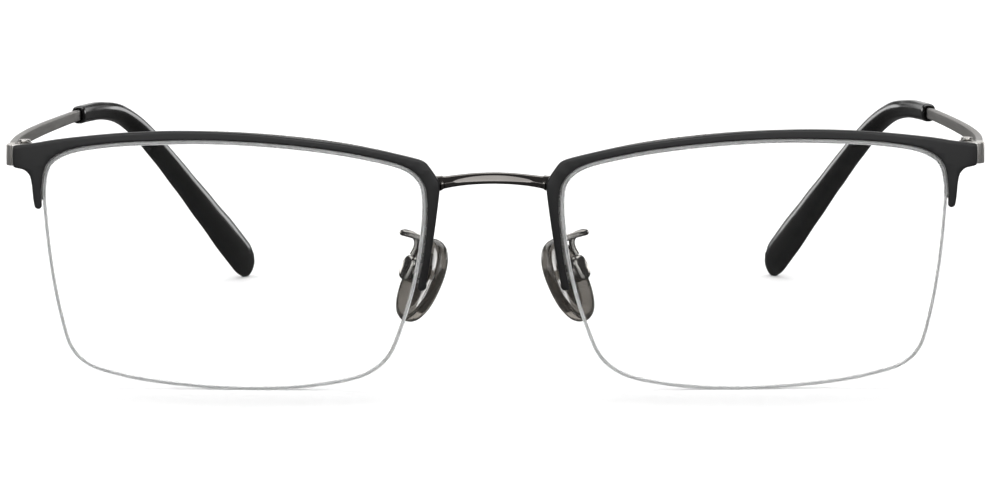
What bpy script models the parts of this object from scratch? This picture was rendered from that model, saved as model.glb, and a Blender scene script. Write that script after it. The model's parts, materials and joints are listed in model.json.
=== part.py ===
"""Half-rim eyeglasses: a black brow bar over a gunmetal eyewire on each side, grooved lenses
held below by a nylon cord, a soldered bridge, adjustable nose pads, and folding temples with
black tips.

Units are metres, +Z up. +X is the wearer's left, -Y is the way the wearer looks. The glasses
stand open on a table at Z = 0, on the lower edges of the lenses and on the two temple tips.
The origin is the middle of the bounding box's underside.
"""

import math

import bmesh
import bpy
from mathutils import Matrix, Vector

MM = 0.001

# Front: boxed lens size about 56 x 36 mm, 18 mm apart
LENS_CENTRE = 37.0 * MM  # from the plane of symmetry to a lens's centre
LENS_RADIUS = 120.0 * MM  # radius of the lens's front surface
FACE_FORM = math.radians(4.0)  # each lens turns back at its temple side
TILT = math.radians(6.0)  # the front leans forward at the top
FRONT_HEIGHT = 19.28 * MM  # of the lens centres above the table
DEPTH_CENTRE = 68.3 * MM  # from the front's datum back to the origin
SIDES = {"left": 1, "right": -1}

# Depths, measured back from the dished datum surface
BROW_FRONT, BROW_BACK = -0.9 * MM, 0.0 * MM
EYEWIRE_FRONT, EYEWIRE_BACK = 0.2 * MM, 2.3 * MM
LENS_FRONT, LENS_BACK = 0.3 * MM, 2.2 * MM
GROOVE_DEPTH_AXIS = 1.25 * MM  # the groove's middle

# Offsets out from the lens edge
BROW_OFFSET = 0.35 * MM
TAIL_COVER = 0.3 * MM  # how much further in the brow bar reaches along its tail
EYEWIRE_INNER, EYEWIRE_OUTER = 0.15 * MM, 1.15 * MM
CHANNEL_OFFSET = 0.6 * MM  # floor of the eyewire's channel
GROOVE_OFFSET = -0.58 * MM  # floor of the lens's groove
GROOVE_HALF = 0.42 * MM
LINER_INNER, LINER_OUTER, LINER_HALF = -0.38 * MM, 0.48 * MM, 0.32 * MM
CORD_RADIUS = 0.28 * MM
CORD_OFFSET = -0.22 * MM

# The lens's edge seen from the front, in mm from its centre: outwards to the temple, up.
# It runs from the top round the temple side, the bottom and the nose side.
LENS_EDGE = [
    (2.0, 17.0), (11.0, 16.75), (19.0, 16.0), (24.5, 14.7), (27.0, 12.9),
    (27.9, 9.6), (27.8, 5.0), (27.1, -2.6), (25.95, -9.6), (24.6, -14.3),
    (22.3, -16.6), (16.4, -18.25), (7.5, -19.25), (-2.0, -19.57), (-11.8, -18.95),
    (-18.7, -17.35), (-21.8, -14.9), (-23.9, -10.2), (-25.8, -3.9), (-26.95, 2.5),
    (-27.3, 8.4), (-26.8, 10.9), (-24.8, 12.9), (-18.5, 14.8), (-9.0, 16.3),
]
LEG_END = 17.92  # where the rim's nose leg ends, counted along LENS_EDGE
TAIL_START, TAIL_END = 3.3, 5.72  # where the rim's temple tail begins and ends

# The brow bar's outer edge, from the foot of the tail round the lug and the top to the leg
BROW_EDGE = [
    (28.4, 6.45), (28.85, 6.6), (29.15, 7.2), (29.3, 8.8), (29.45, 10.4), (29.8, 11.5),
    (30.6, 12.15), (31.9, 12.35), (32.2, 12.7), (32.2, 15.0), (31.9, 15.45),
    (28.85, 16.05), (25.2, 16.8), (16.2, 18.05), (7.4, 18.6), (-1.4, 18.45),
    (-10.0, 17.65), (-18.7, 16.35), (-25.4, 14.75), (-26.9, 14.25), (-27.6, 13.75),
    (-28.2, 12.95), (-29.2, 11.35), (-29.45, 10.4), (-28.85, 5.5), (-28.25, 1.5),
    (-27.55, -2.9), (-27.25, -4.1), (-26.8, -4.45),
]

# Bridge, in the front's own frame
BRIDGE_HALF_SPAN = 8.42 * MM
BRIDGE_HEIGHT, BRIDGE_ARCH = 10.4 * MM, 1.35 * MM
BRIDGE_END_DEPTH, BRIDGE_MID_DEPTH = 3.4 * MM, 1.3 * MM
BRIDGE_MID_SECTION = (0.85 * MM, 0.75 * MM)  # half depth, half height
BRIDGE_END_SECTION = (0.8 * MM, 1.05 * MM)

# Endpiece: seen from above, in mm, x from the plane of symmetry, y back from the datum
ENDPIECE_PLAN = [
    (66.3, 5.2), (69.1, 6.2), (69.95, 6.7), (70.45, 7.35), (70.6, 8.15), (70.6, 10.85),
    (69.6, 10.85), (69.6, 9.3), (69.25, 8.75), (68.5, 8.4), (66.3, 7.1),
]
ENDPIECE_HALF_HEIGHT = 1.5 * MM

# Hinge
PIVOT = Vector((68.3, 11.0, 33.9)) * MM
KNUCKLE_RADIUS, KNUCKLE_BORE = 1.05 * MM, 0.5 * MM
KNUCKLE_MIDDLE_HALF = 0.45 * MM
WASHER_LOW, WASHER_HIGH = 0.5 * MM, 0.65 * MM
KNUCKLE_LOW, KNUCKLE_HIGH = 0.7 * MM, 1.5 * MM
SCREW_RADIUS = 0.45 * MM
SCREW_HEAD_RADIUS, SCREW_HEAD_HEIGHT = 0.85 * MM, 0.4 * MM
SLOT_HALF_WIDTH = 0.13 * MM
FRONT_LEAF_HALF_WIDTH = 0.6 * MM
FRONT_LEAF_BACK, FRONT_LEAF_FRONT = 8.78 * MM, 9.85 * MM  # from the datum, inside the corner
TEMPLE_WEB_INNER, TEMPLE_WEB_OUTER = 0.3 * MM, 1.1 * MM  # outwards from the pivot
TEMPLE_WEB_LENGTH = 2.4 * MM
# The temple leaf's plate: the ends of its outer side seen from above, in mm
TEMPLE_PLATE_START, TEMPLE_PLATE_END = Vector((69.6, 12.4, 0)), Vector((70.61, 20.2, 0))
TEMPLE_PLATE_HALF_THICKNESS, TEMPLE_PLATE_HALF_HEIGHT = 0.3 * MM, 0.75 * MM
TEMPLE_PLATE_DROP = 0.15 * MM

# Temple centre line: x, y, z in mm. The bar ends inside the tip, which carries on to the table.
TEMPLE_LINE = [
    (70.05, 10.95, 33.9), (71.4, 22.5, 34.05), (71.8, 34.5, 34.15), (71.5, 48.0, 34.15),
    (70.85, 61.5, 34.1), (69.9, 74.0, 34.1), (68.9, 82.5, 34.05), (67.4, 90.5, 33.75),
    (65.4, 97.5, 32.6), (62.8, 104.0, 29.5), (59.9, 110.2, 24.8), (56.8, 116.6, 19.3),
    (53.6, 123.2, 13.5), (50.5, 129.8, 7.8), (48.0, 135.2, 3.15), (47.0, 137.6, 1.15),
]
TIP_START = 5.3  # where the black tip begins, counted along TEMPLE_LINE
CORE_END = 13.0
# Half height and half thickness of the bar and its core, in mm, at places along TEMPLE_LINE
BAR_SECTIONS = [
    (0.0, 1.45, 0.55), (0.4, 1.2, 0.52), (1.0, 1.0, 0.5), (2.0, 0.92, 0.5), (5.2, 0.86, 0.48),
    (5.27, 0.62, 0.42), (5.6, 0.6, 0.4), (CORE_END, 0.55, 0.4),
]
TIP_SECTIONS = [
    (TIP_START, 1.3, 1.05), (5.4, 1.45, 1.2), (7.0, 1.5, 1.3), (8.0, 1.6, 1.4),
    (9.0, 1.75, 1.45), (10.0, 1.95, 1.5), (11.0, 2.25, 1.5), (12.0, 2.7, 1.45),
    (13.0, 3.15, 1.4), (13.8, 3.2, 1.3), (14.4, 2.8, 1.15), (14.8, 2.1, 0.9),
    (15.0, 1.1, 0.5),
]
CORE_CLEARANCE = 0.1 * MM

# Nose pads
PAD_BOX = Vector((12.2, 9.2, 17.15)) * MM  # the pivot of the pad, on the axis of its screw
PAD_SPLAY, PAD_LEAN = math.radians(35.0), math.radians(24.5)
PAD_BOX_RADIUS, PAD_BOX_HALF = 1.9 * MM, 1.25 * MM
PAD_BOX_FLAT = 1.5 * MM
PAD_HALF_LENGTH, PAD_HALF_WIDTH, PAD_HALF_THICKNESS = 6.4 * MM, 4.25 * MM, 1.25 * MM
PAD_GAP = 0.5 * MM  # between the box and the pad
PAD_DROP = 1.2 * MM  # the pad's middle sits this far below its screw
STEM_HALF_WIDTH, STEM_HALF_THICKNESS = 0.6 * MM, 0.5 * MM
PAD_SCREW_RADIUS, PAD_SCREW_BORE = 0.32 * MM, 0.38 * MM
PAD_ARM_RADIUS = 0.45 * MM
PAD_ARM_ROUTE = [
    (9.35, 3.95, 21.4), (9.9, 4.7, 21.75), (11.4, 5.6, 22.3), (12.8, 6.5, 22.6),
    (13.3, 7.5, 22.6), (12.8, 8.5, 22.5), (11.7, 9.0, 22.0), (11.3, 9.1, 21.1),
    (11.5, 9.15, 20.1), (12.0, 9.2, 19.15),
]

COLOURS = {
    "black_enamel": ((0.012, 0.012, 0.013), 0.42, 0.3),
    "gunmetal": ((0.22, 0.215, 0.205), 0.22, 1.0),
    "steel": ((0.45, 0.44, 0.42), 0.25, 1.0),
    "black_acetate": ((0.006, 0.006, 0.006), 0.18, 0.0),
    "lens": ((0.96, 0.98, 0.97), 0.02, 0.0),
    "nylon": ((0.86, 0.87, 0.85), 0.3, 0.0),
    "silicone": ((0.36, 0.34, 0.31), 0.25, 0.0),
}


# ---------------------------------------------------------------- scene helpers

def clear_scene():
    for obj in list(bpy.data.objects):
        bpy.data.objects.remove(obj, do_unlink=True)


def new_collection(name, hidden=False):
    collection = bpy.data.collections.new(name)
    bpy.context.scene.collection.children.link(collection)
    collection.hide_render = hidden
    return collection


def new_empty(name, location, parent=None, tilt=0.0):
    empty = bpy.data.objects.new(name, None)
    empty.empty_display_size = 5 * MM
    empty.location = location
    empty.rotation_euler.x = tilt
    empty.parent = parent
    bpy.context.scene.collection.objects.link(empty)
    return empty


def material(name):
    found = bpy.data.materials.get(name)
    if found:
        return found
    colour, roughness, metallic = COLOURS[name]
    made = bpy.data.materials.new(name)
    made.use_nodes = True
    shader = made.node_tree.nodes["Principled BSDF"]
    shader.inputs["Base Color"].default_value = (*colour, 1.0)
    shader.inputs["Roughness"].default_value = roughness
    shader.inputs["Metallic"].default_value = metallic
    return made


def add_object(name, mesh, collection, parent=None, finish=None):
    obj = bpy.data.objects.new(name, mesh)
    collection.objects.link(obj)
    obj.parent = parent
    if finish:
        mesh.materials.append(material(finish))
        mesh.shade_smooth()
        mesh.set_sharp_from_angle(angle=math.radians(35))
    return obj


def mesh_from(bm, name):
    bmesh.ops.remove_doubles(bm, verts=bm.verts, dist=1e-7)
    bmesh.ops.recalc_face_normals(bm, faces=bm.faces)
    mesh = bpy.data.meshes.new(name)
    bm.to_mesh(mesh)
    bm.free()
    return mesh


def evaluated_mesh(obj, name):
    """The object's mesh with its modifiers applied, welded, in its parent's frame."""
    bpy.context.view_layer.update()
    graph = bpy.context.evaluated_depsgraph_get()
    mesh = bpy.data.meshes.new_from_object(obj.evaluated_get(graph))
    mesh.name = name
    mesh.transform(obj.matrix_basis)
    bm = bmesh.new()
    bm.from_mesh(mesh)
    bmesh.ops.remove_doubles(bm, verts=bm.verts, dist=1e-7)
    bmesh.ops.recalc_face_normals(bm, faces=bm.faces)
    bm.to_mesh(mesh)
    bm.free()
    return mesh


def boolean(obj, other, operation):
    modifier = obj.modifiers.new(f"{operation.lower()} {other.name}", "BOOLEAN")
    modifier.operation = operation
    modifier.object = other
    modifier.solver = "EXACT"
    return modifier


def combined(name, first, others, operation):
    """The mesh of one mesh joined with, cut by or crossed with others, all in one frame."""
    base = add_object(name + "_base", first, WORK)
    for index, other in enumerate(others):
        boolean(base, add_object(f"{name}_tool_{index}", other, WORK), operation)
    return evaluated_mesh(base, name)


def mirrored(mesh, side):
    """A copy for the wearer's right side of a mesh made for the left."""
    copy = mesh.copy()
    if side < 0:
        copy.transform(Matrix.Diagonal((-1, 1, 1, 1)))
        copy.flip_normals()
    return copy


# ---------------------------------------------------------------- geometry helpers

def spline_point(knots, place, closed=False):
    """The point at that place, counted in knots, on a centripetal Catmull-Rom spline."""
    count = len(knots)
    if closed:
        place %= count
        index = int(place)
        near = [Vector(knots[(index + step) % count]) for step in (-1, 0, 1, 2)]
    else:
        index = min(int(place), count - 2)
        first, last = Vector(knots[0]), Vector(knots[-1])
        before = [2 * first - Vector(knots[1])]
        after = [2 * last - Vector(knots[-2])]
        padded = before + [Vector(knot) for knot in knots] + after
        near = padded[index:index + 4]
    times = [0.0]
    for one, two in zip(near, near[1:]):
        times.append(times[-1] + max((two - one).length, 1e-9) ** 0.5)
    time = times[1] + (times[2] - times[1]) * (place - index)
    level = near
    for low, high in ((0, 1), (0, 2), (1, 2)):
        level = [
            one.lerp(two, (time - times[i + low]) / (times[i + high] - times[i + low]))
            for i, (one, two) in enumerate(zip(level, level[1:]))
        ]
    return level[0]


def spline(knots, start, end, steps, closed=False):
    return [
        spline_point(knots, start + (end - start) * step / steps, closed)
        for step in range(steps + 1)
    ]


def edge_station(place, offset):
    """A point of the lens's edge moved out by offset, in metres from the lens's centre."""
    here = spline_point(LENS_EDGE, place, closed=True)
    step = 0.02
    ahead = spline_point(LENS_EDGE, place + step, closed=True)
    behind = spline_point(LENS_EDGE, place - step, closed=True)
    along = (ahead - behind).normalized()
    outward = Vector((-along.y, along.x))
    return here * MM + outward * offset


def dish(across, up):
    """How far the datum surface lies behind its foremost plane."""
    bulge = LENS_RADIUS - math.sqrt(LENS_RADIUS**2 - across**2 - up**2)
    return across * math.tan(FACE_FORM) + bulge


def on_front(across, up, depth):
    """A point of the left half of the front, in the front's own frame."""
    return Vector((LENS_CENTRE + across, dish(across, up) + depth, up))


def loft(rings, name, closed=False):
    """A closed mesh through rings of equally many points; a closed loft has no end faces."""
    bm = bmesh.new()
    loops = [[bm.verts.new(point) for point in ring] for ring in rings]
    pairs = list(zip(loops, loops[1:]))
    if closed:
        pairs.append((loops[-1], loops[0]))
    else:
        bm.faces.new(loops[0])
        bm.faces.new(loops[-1])
    for one, two in pairs:
        for i in range(len(one)):
            j = (i + 1) % len(one)
            bm.faces.new((one[i], one[j], two[j], two[i]))
    return mesh_from(bm, name)


def oval(centre, axis_one, axis_two, half_one, half_two, count, power=2.0):
    """A ring of points on an ellipse, or on a rounder box where power is over 2."""
    ring = []
    for step in range(count):
        turn = 2 * math.pi * (step + 0.5) / count
        c, s = math.cos(turn), math.sin(turn)
        one = math.copysign(abs(c) ** (2 / power), c) * half_one
        two = math.copysign(abs(s) ** (2 / power), s) * half_two
        ring.append(centre + axis_one * one + axis_two * two)
    return ring


def drum(centre, axis, radius, half_length, name, segments=24):
    """A cylinder about any axis."""
    bm = bmesh.new()
    turn = Vector((0, 0, 1)).rotation_difference(axis).to_matrix().to_4x4()
    bmesh.ops.create_cone(
        bm, cap_ends=True, segments=segments, radius1=radius, radius2=radius,
        depth=2 * half_length, matrix=Matrix.Translation(centre) @ turn,
    )
    return mesh_from(bm, name)


def block(low, high, name):
    """A box between two corners."""
    bm = bmesh.new()
    size = high - low
    bmesh.ops.create_cube(
        bm, size=1.0,
        matrix=Matrix.Translation((low + high) / 2) @ Matrix.Diagonal((*size, 1)),
    )
    return mesh_from(bm, name)


def turned_block(centre, axes, halves, name):
    """A box of those half sizes along three axes."""
    bm = bmesh.new()
    turn = Matrix(axes).transposed().to_4x4()
    size = Matrix.Diagonal((*(half * 2 for half in halves), 1))
    bmesh.ops.create_cube(bm, size=1.0, matrix=Matrix.Translation(centre) @ turn @ size)
    return mesh_from(bm, name)


def prism(outline, half_height, name):
    """A flat outline, in metres, filled and thickened both ways along its local Z."""
    curve = bpy.data.curves.new(name, "CURVE")
    curve.dimensions = "2D"
    curve.fill_mode = "BOTH"
    curve.extrude = half_height
    line = curve.splines.new("POLY")
    line.points.add(len(outline) - 1)
    for point, (x, y) in zip(line.points, outline):
        point.co = (x, y, 0, 1)
    line.use_cyclic_u = True
    obj = bpy.data.objects.new(name, curve)
    WORK.objects.link(obj)
    mesh = evaluated_mesh(obj, name)
    bpy.data.objects.remove(obj)
    return mesh


def dished_slab(front, back, name):
    """A sheet that follows the datum surface between two depths, larger than the front."""
    cells_across, cells_up = 14, 8
    low, high = Vector((-32.0, -21.0)) * MM, Vector((35.5, 21.0)) * MM
    bm = bmesh.new()
    bmesh.ops.create_grid(bm, x_segments=cells_across, y_segments=cells_up, size=0.5)
    for vert in bm.verts:
        across = low.x + (high.x - low.x) * (vert.co.x + 0.5)
        up = low.y + (high.y - low.y) * (vert.co.y + 0.5)
        vert.co = on_front(across, up, front)
    mesh = mesh_from(bm, name)
    sheet = add_object(name, mesh, WORK)
    thick = sheet.modifiers.new("thickness", "SOLIDIFY")
    thick.thickness = back - front
    thick.offset = 1.0 if mesh.polygons[0].normal.y > 0 else -1.0
    thick.use_even_offset = False
    return evaluated_mesh(sheet, name)


def cut_from_dish(outline, front, back, name):
    """The part of a dished sheet inside an outline given from the lens's centre."""
    cutter = prism(outline, 30 * MM, name + "_outline")
    stand_up = Matrix.Rotation(math.radians(90), 4, "X")
    cutter.transform(Matrix.Translation((LENS_CENTRE, 0, 0)) @ stand_up)
    return combined(name, dished_slab(front, back, name + "_slab"), [cutter], "INTERSECT")


def band(places, section, name, closed=False):
    """A rail that follows the lens's edge; section lists its (offset, depth) corners."""
    rings = []
    for place in places:
        ring = []
        for offset, depth in section:
            across, up = edge_station(place, offset)
            ring.append(on_front(across, up, depth))
        rings.append(ring)
    return loft(rings, name, closed)


def places_between(start, end, steps):
    return [start + (end - start) * step / steps for step in range(steps + 1)]


def rectangle(inner, outer, middle, half):
    return [
        (inner, middle - half), (outer, middle - half),
        (outer, middle + half), (inner, middle + half),
    ]


# ---------------------------------------------------------------- front

RIM_START, RIM_END = LEG_END, TAIL_END + len(LENS_EDGE)


def lens():
    outline = [edge_station(p, 0.0) for p in places_between(0, len(LENS_EDGE), 75)[:-1]]
    blank = cut_from_dish(outline, LENS_FRONT, LENS_BACK, "lens")
    groove_section = rectangle(GROOVE_OFFSET, 1.0 * MM, GROOVE_DEPTH_AXIS, GROOVE_HALF)
    places = places_between(0, len(LENS_EDGE), 75)[:-1]
    groove = band(places, groove_section, "lens_groove", closed=True)
    return combined("lens", blank, [groove], "DIFFERENCE")


def brow_offset(place):
    """The brow bar's inner edge out from the lens's edge: less along the temple tail."""
    tail = (place - len(LENS_EDGE) - TAIL_START) / 1.5
    return BROW_OFFSET - TAIL_COVER * min(max(tail, 0), 1)


def brow():
    inner = [edge_station(p, brow_offset(p)) for p in places_between(RIM_START, RIM_END, 38)]
    outer = [p * MM for p in spline(BROW_EDGE, 0, len(BROW_EDGE) - 1, 56)]
    return cut_from_dish(inner + outer, BROW_FRONT, BROW_BACK, "brow")


def eyewire():
    """A channel that opens towards the lens."""
    low, high = GROOVE_DEPTH_AXIS - GROOVE_HALF, GROOVE_DEPTH_AXIS + GROOVE_HALF
    section = [
        (EYEWIRE_INNER, EYEWIRE_FRONT), (EYEWIRE_OUTER, EYEWIRE_FRONT),
        (EYEWIRE_OUTER, EYEWIRE_BACK), (EYEWIRE_INNER, EYEWIRE_BACK),
        (EYEWIRE_INNER, high), (CHANNEL_OFFSET, high),
        (CHANNEL_OFFSET, low), (EYEWIRE_INNER, low),
    ]
    return band(places_between(RIM_START + 0.05, RIM_END - 0.05, 38), section, "eyewire")


def rim_liner():
    section = rectangle(LINER_INNER, LINER_OUTER, GROOVE_DEPTH_AXIS, LINER_HALF)
    return band(places_between(RIM_START + 0.35, RIM_END - 0.35, 36), section, "rim_liner")


def nylon_cord():
    """Lies in the lens's groove below the rim, with both ends inside the eyewire's channel."""
    curve = bpy.data.curves.new("nylon_cord", "CURVE")
    curve.dimensions = "3D"
    curve.bevel_depth = CORD_RADIUS
    curve.bevel_resolution = 2
    curve.use_fill_caps = True
    places = places_between(TAIL_END - 0.25, LEG_END + 0.25, 38)
    line = curve.splines.new("POLY")
    line.points.add(len(places) - 1)
    for point, place in zip(line.points, places):
        across, up = edge_station(place, CORD_OFFSET)
        point.co = (*on_front(across, up, GROOVE_DEPTH_AXIS), 1)
    obj = bpy.data.objects.new("nylon_cord", curve)
    WORK.objects.link(obj)
    mesh = evaluated_mesh(obj, "nylon_cord")
    bpy.data.objects.remove(obj)
    return mesh


def bridge():
    rings = []
    steps = 20
    for step in range(steps + 1):
        share = 2 * step / steps - 1
        fall = share * share
        middle = Vector((
            share * BRIDGE_HALF_SPAN,
            BRIDGE_MID_DEPTH + (BRIDGE_END_DEPTH - BRIDGE_MID_DEPTH) * fall,
            BRIDGE_HEIGHT + BRIDGE_ARCH * (1 - fall),
        ))
        flare = fall**3
        half_depth, half_height = (
            mid + (end - mid) * flare
            for mid, end in zip(BRIDGE_MID_SECTION, BRIDGE_END_SECTION)
        )
        rings.append(oval(
            middle, Vector((0, 1, 0)), Vector((0, 0, 1)), half_depth, half_height, 12, 2.6
        ))
    return loft(rings, "bridge")


def endpiece():
    outline = [(x * MM, y * MM) for x, y in ENDPIECE_PLAN]
    mesh = prism(outline, ENDPIECE_HALF_HEIGHT, "endpiece")
    mesh.transform(Matrix.Translation((0, 0, PIVOT.z)))
    return mesh


# ---------------------------------------------------------------- hinge

UP = Vector((0, 0, 1))


def knuckle(low, high, name):
    middle = PIVOT + UP * (low + high) / 2
    return drum(middle, UP, KNUCKLE_RADIUS, (high - low) / 2, name)


def hinge_bore(name):
    return drum(PIVOT, UP, KNUCKLE_BORE, 5 * MM, name)


def hinge_front_leaf():
    """Two knuckles on a plate that is soldered inside the endpiece's corner."""
    half = FRONT_LEAF_HALF_WIDTH
    overlap = 0.2 * MM
    plate = block(
        Vector((PIVOT.x - half, FRONT_LEAF_BACK, PIVOT.z - KNUCKLE_HIGH)),
        Vector((PIVOT.x + half, FRONT_LEAF_FRONT, PIVOT.z + KNUCKLE_HIGH)),
        "front_plate",
    )
    half -= 0.05 * MM
    joined = []
    for low, high in ((KNUCKLE_LOW, KNUCKLE_HIGH), (-KNUCKLE_HIGH, -KNUCKLE_LOW)):
        joined.append(knuckle(low, high, "front_knuckle"))
        joined.append(block(
            Vector((PIVOT.x - half, FRONT_LEAF_FRONT - overlap, PIVOT.z + low)),
            Vector((PIVOT.x + half, PIVOT.y, PIVOT.z + high)),
            "front_web",
        ))
    whole = combined("hinge_front_leaf", plate, joined, "UNION")
    return combined("hinge_front_leaf", whole, [hinge_bore("front_bore")], "DIFFERENCE")


def hinge_temple_leaf():
    """One knuckle on a plate that is soldered to the inside of the temple."""
    middle = knuckle(-KNUCKLE_MIDDLE_HALF, KNUCKLE_MIDDLE_HALF, "temple_knuckle")
    web = block(
        Vector((PIVOT.x + TEMPLE_WEB_INNER, PIVOT.y, PIVOT.z - KNUCKLE_MIDDLE_HALF)),
        Vector((
            PIVOT.x + TEMPLE_WEB_OUTER, PIVOT.y + TEMPLE_WEB_LENGTH,
            PIVOT.z + KNUCKLE_MIDDLE_HALF,
        )),
        "temple_web",
    )
    along = (TEMPLE_PLATE_END - TEMPLE_PLATE_START).normalized()
    inward = Vector((-along.y, along.x, 0))
    outside = (TEMPLE_PLATE_START + TEMPLE_PLATE_END) / 2 * MM
    height = PIVOT.z - TEMPLE_PLATE_DROP
    plate = turned_block(
        outside + inward * TEMPLE_PLATE_HALF_THICKNESS + UP * height, (along, inward, UP),
        (
            (TEMPLE_PLATE_END - TEMPLE_PLATE_START).length / 2 * MM,
            TEMPLE_PLATE_HALF_THICKNESS, TEMPLE_PLATE_HALF_HEIGHT,
        ),
        "temple_plate",
    )
    whole = combined("hinge_temple_leaf", middle, [web, plate], "UNION")
    return combined("hinge_temple_leaf", whole, [hinge_bore("temple_bore")], "DIFFERENCE")


def hinge_screw():
    """A slotted cheese-head screw down through the three knuckles."""
    top = KNUCKLE_HIGH + 0.05 * MM
    shank_low = -KNUCKLE_HIGH
    shank = drum(
        PIVOT + UP * (top + 0.1 * MM + shank_low) / 2, UP, SCREW_RADIUS,
        (top + 0.1 * MM - shank_low) / 2, "shank", 16,
    )
    head = drum(
        PIVOT + UP * (top + SCREW_HEAD_HEIGHT / 2), UP, SCREW_HEAD_RADIUS,
        SCREW_HEAD_HEIGHT / 2, "head", 20,
    )
    slot_floor = top + SCREW_HEAD_HEIGHT * 0.5
    slot = block(
        PIVOT + Vector((-2 * MM, -SLOT_HALF_WIDTH, slot_floor)),
        PIVOT + Vector((2 * MM, SLOT_HALF_WIDTH, slot_floor + 2 * MM)),
        "slot",
    )
    whole = combined("hinge_screw", head, [shank], "UNION")
    return combined("hinge_screw", whole, [slot], "DIFFERENCE")


def hinge_washer(sign):
    low, high = sorted((sign * WASHER_LOW, sign * WASHER_HIGH))
    middle = PIVOT + UP * (low + high) / 2
    ring = drum(middle, UP, KNUCKLE_RADIUS - 0.05 * MM, (high - low) / 2, "washer", 20)
    return combined("hinge_washer", ring, [hinge_bore("washer_bore")], "DIFFERENCE")


# ---------------------------------------------------------------- temple

def section_at(table, place):
    """Half height and half thickness at a place, between the rows of a table."""
    for (p0, *low), (p1, *high) in zip(table, table[1:]):
        if place <= p1:
            share = (place - p0) / (p1 - p0)
            share = share * share * (3 - 2 * share)
            return [(a + (b - a) * share) * MM for a, b in zip(low, high)]
    return [value * MM for value in table[-1][1:]]


def temple_rings(table, places, count, power, grow=0.0):
    """Rings across the temple's centre line, upright in its height and square to its side."""
    rings = []
    for place in places:
        here = spline_point(TEMPLE_LINE, place) * MM
        ahead = spline_point(TEMPLE_LINE, min(place + 0.05, len(TEMPLE_LINE) - 1)) * MM
        behind = spline_point(TEMPLE_LINE, max(place - 0.05, 0)) * MM
        along = (ahead - behind).normalized()
        outward = Vector((along.y, -along.x, 0)).normalized()
        across = outward.cross(along).normalized()
        half_height, half_thickness = section_at(table, place)
        rings.append(oval(
            here, across, outward, half_height + grow, half_thickness + grow, count, power
        ))
    return rings


def temple():
    """The flat bar, with the thinner core wire that runs on inside the tip."""
    bar = [0, 0.2, 0.4, 0.7, 1, 1.5, 2, 2.5, 3, 3.5, 4, 4.5, 5, 5.2, 5.27, 5.6]
    core = places_between(6, CORE_END, 14)
    return loft(temple_rings(BAR_SECTIONS, bar + core, 12, 5.0), "temple")


def temple_tip():
    """The black sleeve: slim at its mouth, over the ear bend, and broad where it ends."""
    last = len(TEMPLE_LINE) - 1
    body = places_between(5.4, 13.8, 17)
    end = [14.1, 14.4, 14.7, 14.9, last]
    outside = loft(temple_rings(TIP_SECTIONS, [TIP_START] + body + end, 12, 2.8), "tip")
    bore_places = [5.27, 5.45, 5.6] + places_between(6, CORE_END, 14) + [CORE_END + 0.1]
    bore = loft(temple_rings(BAR_SECTIONS, bore_places, 12, 5.0, CORE_CLEARANCE), "tip_bore")
    return combined("temple_tip", outside, [bore], "DIFFERENCE")


# ---------------------------------------------------------------- nose pad

def pad_axes():
    """Up the pad, back across it, and out of the face that rests on the nose."""
    up = Vector((-math.sin(PAD_LEAN), 0, math.cos(PAD_LEAN)))
    back = Vector((math.sin(PAD_SPLAY), math.cos(PAD_SPLAY), 0))
    back = (back - up * back.dot(up)).normalized()
    return up, back, up.cross(back).normalized()


PAD_UP, PAD_BACKWARD, PAD_FACING = pad_axes()
PAD_CENTRE = (
    PAD_BOX + PAD_FACING * (PAD_BOX_HALF + PAD_GAP + PAD_HALF_THICKNESS) - PAD_UP * PAD_DROP
)


def pad_arm():
    """A round wire from behind the rim's leg, looping out and down to the pad box."""
    knots = [Vector(point) for point in PAD_ARM_ROUTE]
    points = spline(knots, 0, len(knots) - 1, 24)
    curve = bpy.data.curves.new("pad_arm", "CURVE")
    curve.dimensions = "3D"
    curve.bevel_depth = PAD_ARM_RADIUS
    curve.bevel_resolution = 2
    curve.use_fill_caps = True
    line = curve.splines.new("POLY")
    line.points.add(len(points) - 1)
    for point, place in zip(line.points, points):
        point.co = (*(place * MM), 1)
    obj = bpy.data.objects.new("pad_arm", curve)
    WORK.objects.link(obj)
    mesh = evaluated_mesh(obj, "pad_arm")
    bpy.data.objects.remove(obj)
    return mesh


def pad_box():
    """A short drum with a slot for the pad's stem and a cross hole for the screw."""
    body = drum(PAD_BOX, PAD_FACING, PAD_BOX_RADIUS, PAD_BOX_HALF, "box", 28)
    keep = turned_block(
        PAD_BOX, (PAD_UP, PAD_BACKWARD, PAD_FACING), (3 * MM, PAD_BOX_FLAT, 3 * MM), "flats"
    )
    body = combined("pad_box", body, [keep], "INTERSECT")
    slot = turned_block(
        PAD_BOX + PAD_FACING * 0.7 * MM,
        (PAD_UP, PAD_BACKWARD, PAD_FACING),
        (STEM_HALF_WIDTH + 0.4 * MM, STEM_HALF_THICKNESS + 0.12 * MM, 1.5 * MM),
        "slot",
    )
    hole = drum(PAD_BOX, PAD_BACKWARD, PAD_SCREW_BORE, 3 * MM, "hole", 16)
    return combined("pad_box", body, [slot, hole], "DIFFERENCE")


def pad_screw():
    length = PAD_BOX_FLAT * 2 + 0.2 * MM
    head_place = PAD_BOX - PAD_BACKWARD * (PAD_BOX_FLAT + 0.25 * MM)
    shank = drum(PAD_BOX, PAD_BACKWARD, PAD_SCREW_RADIUS, length / 2, "pad_shank", 14)
    head = drum(head_place, PAD_BACKWARD, 0.62 * MM, 0.2 * MM, "pad_head", 16)
    return combined("pad_screw", head, [shank], "UNION")


def core_rings(grow):
    """The flat oval plate inside the pad."""
    return [
        oval(
            PAD_CENTRE + PAD_FACING * depth, PAD_UP, PAD_BACKWARD,
            4.4 * MM + grow, 1.9 * MM + grow, 18,
        )
        for depth in (-0.2 * MM - grow, 0.2 * MM + grow)
    ]


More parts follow.
